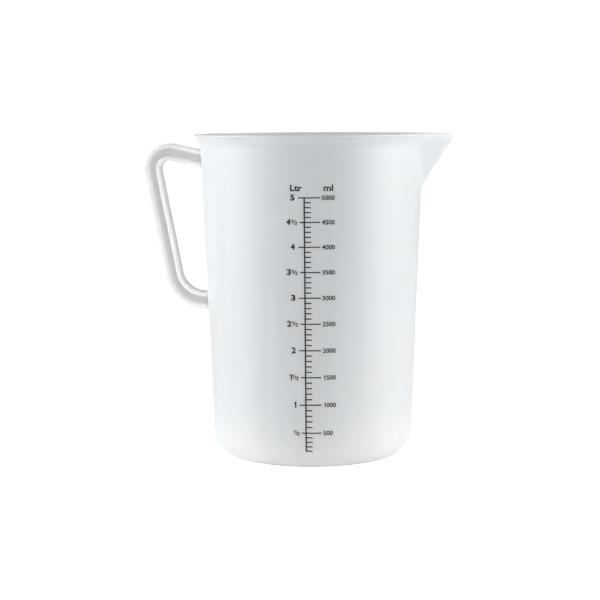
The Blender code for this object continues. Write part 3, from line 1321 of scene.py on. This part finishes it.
@dataclass
class Studio:
    """Pale floor, soft lights and the camera."""

    axis_x: float
    eye: Point3 = (0.1155, -1.7167, 0.3000)
    turn: float = math.radians(4.2)
    pitch: float = 0.0969
    roll: float = -0.0058
    lens: float = 121.93
    sensor: float = 36.0
    around_front: float = 0.565
    around_back: float = 0.30
    around_low: float = 0.30
    around_high: float = 0.22
    glow_width: float = 0.7
    glow_power: float = 0.38
    glow_level: float = -0.0001
    floor_level: float = -0.0002
    floor_half: float = 12.0
    floor_cloud: float = 1.2
    floor_dim: Colour = (0.90, 0.90, 0.90, 1.0)
    floor_bright: Colour = (0.94, 0.94, 0.94, 1.0)
    aim_height: float = 0.14
    seen_white: float = 1.05
    sweep: Point2 = (0.5, -0.5)
    daylight: Colour = (0.985, 0.992, 1.0, 1.0)
    softboxes: tuple[Softbox, ...] = (
        Softbox("softbox_left", azimuth=-74.0, power=18.5),
        Softbox("softbox_right", azimuth=80.0, power=19.5),
        Softbox("top_light", azimuth=170.0, power=8.0, height=1.5, distance=0.7, wide=1.2, tall=1.2),
    )

    def camera(self) -> None:
        """Set the camera, which looks slightly down from the spout's side of the front."""
        data = bpy.data.cameras.new("camera")
        data.lens = self.lens
        data.sensor_width = self.sensor
        data.clip_end = 50.0
        made = linked("camera", data)
        made.location = (self.axis_x + self.eye[0], self.eye[1], self.eye[2])
        heading = Matrix.Rotation(self.turn, 4, "Z") @ Matrix.Rotation(math.pi / 2 - self.pitch, 4, "X")
        made.rotation_euler = (heading @ Matrix.Rotation(self.roll, 4, "Z")).to_euler()
        bpy.context.scene.camera = made

    def floor(self) -> None:
        """Lay a wide pale floor, which glows a little and lights nothing."""
        half = self.floor_half
        mesh = bpy.data.meshes.new("floor")
        corners = [(-half, -half, 0), (half, -half, 0), (half, half, 0), (-half, half, 0)]
        mesh.from_pydata(corners, [], [(0, 1, 2, 3)])
        made = linked("floor", mesh)
        made.location.z = self.floor_level
        paint, graph, shader = new_material("pale_floor")
        cloud = graph.noise(graph.place(), self.floor_cloud, 2.0)
        colour = graph.ramp(cloud, (0.0, self.floor_dim), (1.0, self.floor_bright))
        for label, source in {
            "Base Color": colour,
            "Roughness": 0.9,
            "Specular IOR Level": 0.1,
            "Emission Color": WHITE,
            "Emission Strength": 0.85,
        }.items():
            graph.feed(source, shader[label])
        mesh.materials.append(paint)
        made.visible_diffuse = False
        made.visible_glossy = False

    def lamp(self, name: str, power: float, place: Point3, **form: object) -> Object:
        """Hang an area light that isn't seen itself.

        Args:
            name: Its name.
            power: Its power in watts.
            place: Where it hangs.
            form: Its shape and size, as the light's properties.

        Returns:
            The lamp, which faces down until it is turned.
        """
        data = bpy.data.lights.new(name, "AREA")
        data.energy = power
        for label, value in form.items():
            setattr(data, label, value)
        made = linked(name, data)
        made.location = place
        made.visible_camera = False
        return made

    def softbox(self, box: Softbox) -> None:
        """Hang a softbox and turn it towards the jug."""
        turn = math.radians(box.azimuth)
        place = (self.axis_x + box.distance * math.sin(turn), -box.distance * math.cos(turn), box.height)
        made = self.lamp(box.name, box.power, place, shape="RECTANGLE", size=box.wide, size_y=box.tall)
        aim = Vector((self.axis_x, 0.0, self.aim_height)) - made.location
        made.rotation_euler = aim.to_track_quat("-Z", "Y").to_euler()

    def floor_glow(self) -> None:
        """Light the heel from below, as a lit table does."""
        place = (self.axis_x, 0.0, self.glow_level)
        made = self.lamp("floor_glow", self.glow_power, place, shape="DISK", size=self.glow_width)
        made.rotation_euler = (math.pi, 0.0, 0.0)

    def world(self) -> None:
        """Surround the set with even light, seen as plain white."""
        made = bpy.data.worlds.new("studio")
        bpy.context.scene.world = made
        made.use_nodes = True
        made.node_tree.nodes.clear()
        graph = Graph(made.node_tree)
        seen = graph.node("ShaderNodeBackground", {"Color": WHITE, "Strength": self.seen_white})
        _, ahead, up = graph.split(graph.place("Generated"))
        front = graph.spread(ahead, self.sweep, (self.around_back, self.around_front), "SMOOTHSTEP")
        down = graph.math("MAXIMUM", graph.math("MULTIPLY", up, -1.0), 0.0)
        below = graph.math("MULTIPLY", down, self.around_low)
        above = graph.math("MULTIPLY", graph.math("MAXIMUM", up, 0.0), self.around_high)
        level = graph.math("SUBTRACT", graph.math("ADD", front, below), above)
        lit = graph.node("ShaderNodeBackground", {"Color": self.daylight, "Strength": level})
        straight = graph.node("ShaderNodeLightPath").outputs["Is Camera Ray"]
        pick = graph.node("ShaderNodeMixShader", {0: straight, 1: lit.outputs[0], 2: seen.outputs[0]})
        graph.node("ShaderNodeOutputWorld", {"Surface": pick.outputs[0]})

    def build(self) -> None:
        """Set up the whole studio."""
        self.camera()
        self.floor()
        self.world()
        for box in self.softboxes:
            self.softbox(box)
        self.floor_glow()
        scene = bpy.context.scene
        scene.view_settings.view_transform = "Standard"
        scene.view_settings.look = "None"


def main() -> None:
    """Build the jug and its studio."""
    vessel = Vessel.from_frame()
    plastic = MilkyPlastic().build()
    # The handle's copy of the same plastic is painted far paler than the wall's, painted light that brightens
    # its shaded web and flanges.
    lit_handle_plastic = MilkyPlastic(
        name="milky_handle",
        deep=(0.960, 0.967, 0.970, 1.0),
        pale=(0.976, 0.980, 0.982, 1.0),
        scatter=(1.0, 1.0, 1.0),
        scatter_scale=0.012,
        scatter_weight=1.0,
        thick_gain=0.0,
    ).build()
    ink = ScreenInk().build()
    print_on = PrintedScale(vessel, ink)
    pieces = [
        JugShell(vessel, plastic).build(),
        Handle.from_frame(vessel, lit_handle_plastic).build(),
        print_on.build_lines(),
        print_on.build_numerals(),
    ]
    for piece in pieces:
        log.info("%s: %d vertices, %d faces", piece.name, len(piece.data.vertices), len(piece.data.polygons))
    Studio(vessel.axis_x).build()


if __name__ == "__main__":
    main()
